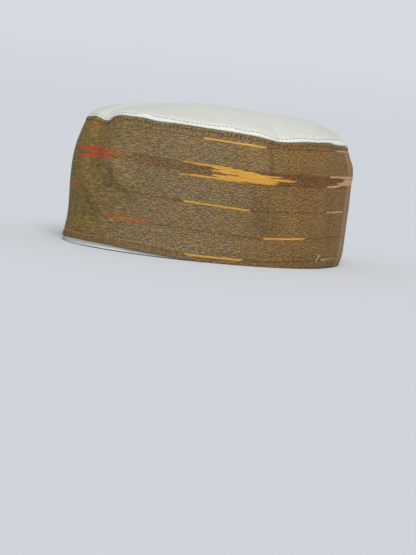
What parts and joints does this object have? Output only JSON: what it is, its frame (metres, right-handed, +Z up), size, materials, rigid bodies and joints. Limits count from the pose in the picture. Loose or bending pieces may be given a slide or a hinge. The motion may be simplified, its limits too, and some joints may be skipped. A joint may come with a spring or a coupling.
{
  "type": "ikat cap",
  "caption": "Brimless soft oval cap with an upright ikat-woven band, a gently domed white crown and a white lining.",
  "frame": {"origin": "middle of the cap's footprint, on the surface that its rim rests on", "axes": "+Z up through the crown, -Y towards the forehead, +X towards the wearer's left"},
  "size_m": [0.1756, 0.2014, 0.1014],
  "materials": {
    "ikat_cloth": "matt plain-woven cotton ikat in golden olive over dark navy, with red, orange and pink dyed streaks",
    "crown_cloth": "matt fine off-white cotton",
    "lining_cloth": "matt fine off-white cotton"
  },
  "bodies": {
    "root": {"band": "ikat_cloth", "crown": "crown_cloth", "lining": "lining_cloth"}
  },
  "joints": []
}
